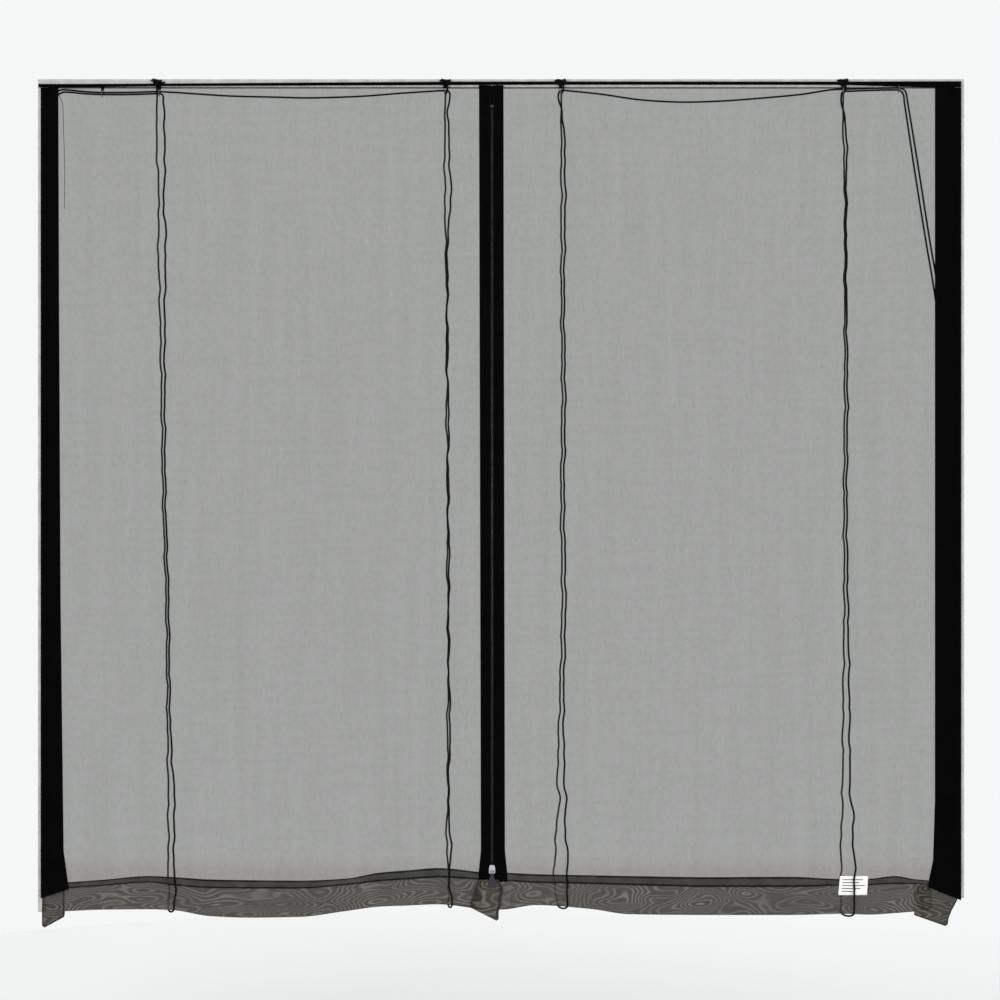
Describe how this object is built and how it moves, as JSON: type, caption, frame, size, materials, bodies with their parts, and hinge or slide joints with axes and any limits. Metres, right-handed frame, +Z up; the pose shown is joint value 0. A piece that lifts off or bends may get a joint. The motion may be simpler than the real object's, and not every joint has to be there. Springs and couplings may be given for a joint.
{
  "type": "roll-up mesh door screen",
  "caption": "Two mesh halves joined by a zip, hung from hook tape round a doorway, with weighted hems and cords through guide rings that gather each half up to the header.",
  "frame": {"origin": "centre of the header hook tape's back face, where the screen is stuck to the door head", "axes": "+X along the header to the viewer's right, +Y through the doorway away from the viewer, +Z up; front is -Y"},
  "size_m": [2.44, 0.0339, 2.235],
  "materials": {
    "hook_strip": "pale grey hook tape, adhesive backed",
    "loop_tape": "black loop tape",
    "webbing": "black polyester webbing",
    "mesh": "grey see-through polyester mesh",
    "hem_fabric": "doubled grey mesh with dark stitching",
    "cord": "black braided polyester cord",
    "ring_steel": "nickel-plated wire",
    "zip_coil": "black nylon coil",
    "zip_metal": "bright die-cast metal",
    "pull_metal": "gunmetal pull",
    "label": "white woven cloth",
    "weight": "dark weight seen through the hem"
  },
  "bodies": {
    "header": {"header_hook_tape": "hook_strip", "left_jamb_hook_tape": "hook_strip", "right_jamb_hook_tape": "hook_strip", "header_loop_tape": "loop_tape", "left_loop_tape": "loop_tape", "right_loop_tape": "loop_tape", "header_webbing": "webbing", "left_side_webbing": "webbing", "right_side_webbing": "webbing", "left_zip_webbing": "webbing", "right_zip_webbing": "webbing", "left_zip_tape": "webbing", "right_zip_tape": "webbing", "ring_hanger_1": "webbing", "ring_hanger_2": "webbing", "ring_hanger_3": "webbing", "ring_hanger_4": "webbing", "ring_hanger_5": "webbing", "ring_hanger_6": "webbing", "left_mesh_panel": "mesh", "right_mesh_panel": "mesh", "header_tie_1": "cord", "header_tie_2": "cord", "header_tie_3": "cord", "header_tie_4": "cord", "lift_loop_1": "cord", "lift_loop_2": "cord", "lift_loop_3": "cord", "lift_loop_4": "cord", "lead_cord_1": "cord", "lead_cord_2": "cord", "lead_cord_3": "cord", "lead_cord_4": "cord", "left_zip_coil": "zip_coil", "right_zip_coil": "zip_coil", "zip_top_stop": "zip_metal"},
    "left_hem": {"left_hem_band": "hem_fabric", "left_hem_pocket": "hem_fabric", "left_corner_flap": "hem_fabric"},
    "right_hem": {"right_hem_band": "hem_fabric", "right_hem_pocket": "hem_fabric", "right_corner_flap": "hem_fabric", "centre_flap": "hem_fabric", "right_corner_weight": "weight", "care_label": "label", "zip_bottom_stop": "zip_metal"},
    "slider": {"zip_slider": "zip_metal"},
    "front_pull": {"front_pull": "pull_metal"},
    "back_pull": {"back_pull": "pull_metal"},
    "ring_1": {"guide_ring_1": "ring_steel"},
    "ring_2": {"guide_ring_2": "ring_steel"},
    "ring_3": {"guide_ring_3": "ring_steel"},
    "ring_4": {"guide_ring_4": "ring_steel"},
    "ring_5": {"guide_ring_5": "ring_steel"},
    "ring_6": {"guide_ring_6": "ring_steel"}
  },
  "joints": [
    {"name": "left_roll_up", "type": "slide", "parent": "header", "child": "left_hem", "axis": [0, 0, 1], "range_m": [0, 1.94], "deforming": ["left_mesh_panel", "left_side_webbing", "left_zip_webbing", "left_zip_tape", "left_zip_coil", "left_loop_tape", "lift_loop_1", "lift_loop_2"]},
    {"name": "right_roll_up", "type": "slide", "parent": "header", "child": "right_hem", "axis": [0, 0, 1], "range_m": [0, 1.94], "deforming": ["right_mesh_panel", "right_side_webbing", "right_zip_webbing", "right_zip_tape", "right_zip_coil", "right_loop_tape", "lift_loop_3", "lift_loop_4"]},
    {"name": "zip_slide", "type": "slide", "parent": "right_hem", "child": "slider", "axis": [0, 0, -1], "range_m": [-1.985, 0]},
    {"name": "front_pull_swing", "type": "hinge", "parent": "slider", "child": "front_pull", "pos_m": [-0.0235, -0.0099, -2.0715], "axis": [1, 0, 0], "range_deg": [-150, 0]},
    {"name": "back_pull_swing", "type": "hinge", "parent": "slider", "child": "back_pull", "pos_m": [-0.0235, 0.0019, -2.0715], "axis": [1, 0, 0], "range_deg": [0, 150]},
    {"name": "ring_1_swing", "type": "hinge", "parent": "header", "child": "ring_1", "pos_m": [-1.049, -0.0067, -0.02288], "axis": [0, 1, 0], "range_deg": [-12, 12]},
    {"name": "ring_2_swing", "type": "hinge", "parent": "header", "child": "ring_2", "pos_m": [-0.899, -0.0067, -0.02088], "axis": [0, 1, 0], "range_deg": [-12, 12]},
    {"name": "ring_3_swing", "type": "hinge", "parent": "header", "child": "ring_3", "pos_m": [-0.148, -0.0067, -0.01538], "axis": [0, 1, 0], "range_deg": [-12, 12]},
    {"name": "ring_4_swing", "type": "hinge", "parent": "header", "child": "ring_4", "pos_m": [0.157, -0.0067, -0.01738], "axis": [0, 1, 0], "range_deg": [-12, 12]},
    {"name": "ring_5_swing", "type": "hinge", "parent": "header", "child": "ring_5", "pos_m": [0.9, -0.0067, -0.01438], "axis": [0, 1, 0], "range_deg": [-12, 12]},
    {"name": "ring_6_swing", "type": "hinge", "parent": "header", "child": "ring_6", "pos_m": [1.046, -0.0067, -0.01088], "axis": [0, 1, 0], "range_deg": [-12, 12]}
  ],
  "couplings": [
    {"joint": "ring_2_swing", "follows": "ring_1_swing", "ratio": 1},
    {"joint": "ring_3_swing", "follows": "ring_1_swing", "ratio": 1},
    {"joint": "ring_5_swing", "follows": "ring_6_swing", "ratio": 1},
    {"joint": "ring_4_swing", "follows": "ring_6_swing", "ratio": 1}
  ]
}
